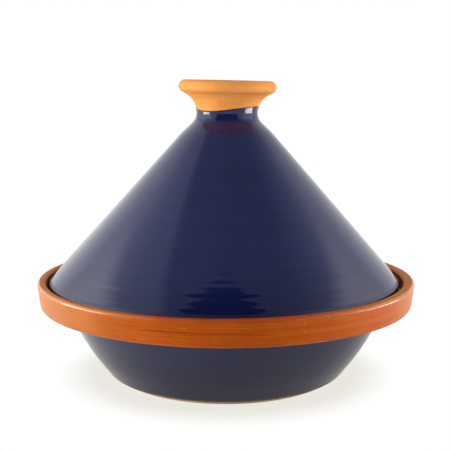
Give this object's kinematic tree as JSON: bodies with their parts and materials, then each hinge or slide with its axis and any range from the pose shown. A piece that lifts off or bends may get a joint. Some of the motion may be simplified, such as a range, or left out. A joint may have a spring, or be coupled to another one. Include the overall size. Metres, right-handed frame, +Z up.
{
  "type": "tagine pot",
  "caption": "Clay tagine cooking pot: shallow round dish with a banded rim and inner ledge, and a tall conical lid with a cupped knob that lifts straight off.",
  "frame": {"origin": "centre of the dish's foot, on the surface it stands on", "axes": "+Z up along the axis that the dish and the lid are turned about; -Y towards the viewer of the picture"},
  "size_m": [0.3, 0.3, 0.234],
  "materials": {
    "bare_clay": "matte fired earthenware, unglazed",
    "blue_glaze": "glossy deep blue glaze",
    "clear_glazed_clay": "glossy clear glaze over red clay"
  },
  "bodies": {
    "base": {"base_dish": "bare_clay", "base_blue_glaze": "blue_glaze", "base_clear_glaze": "clear_glazed_clay"},
    "lid": {"lid_cone": "bare_clay", "lid_knob": "bare_clay", "lid_blue_glaze": "blue_glaze"}
  },
  "joints": [
    {"name": "lid_lift", "type": "slide", "parent": "base", "child": "lid", "axis": [0, 0, 1], "range_m": [0, 0.2]}
  ]
}
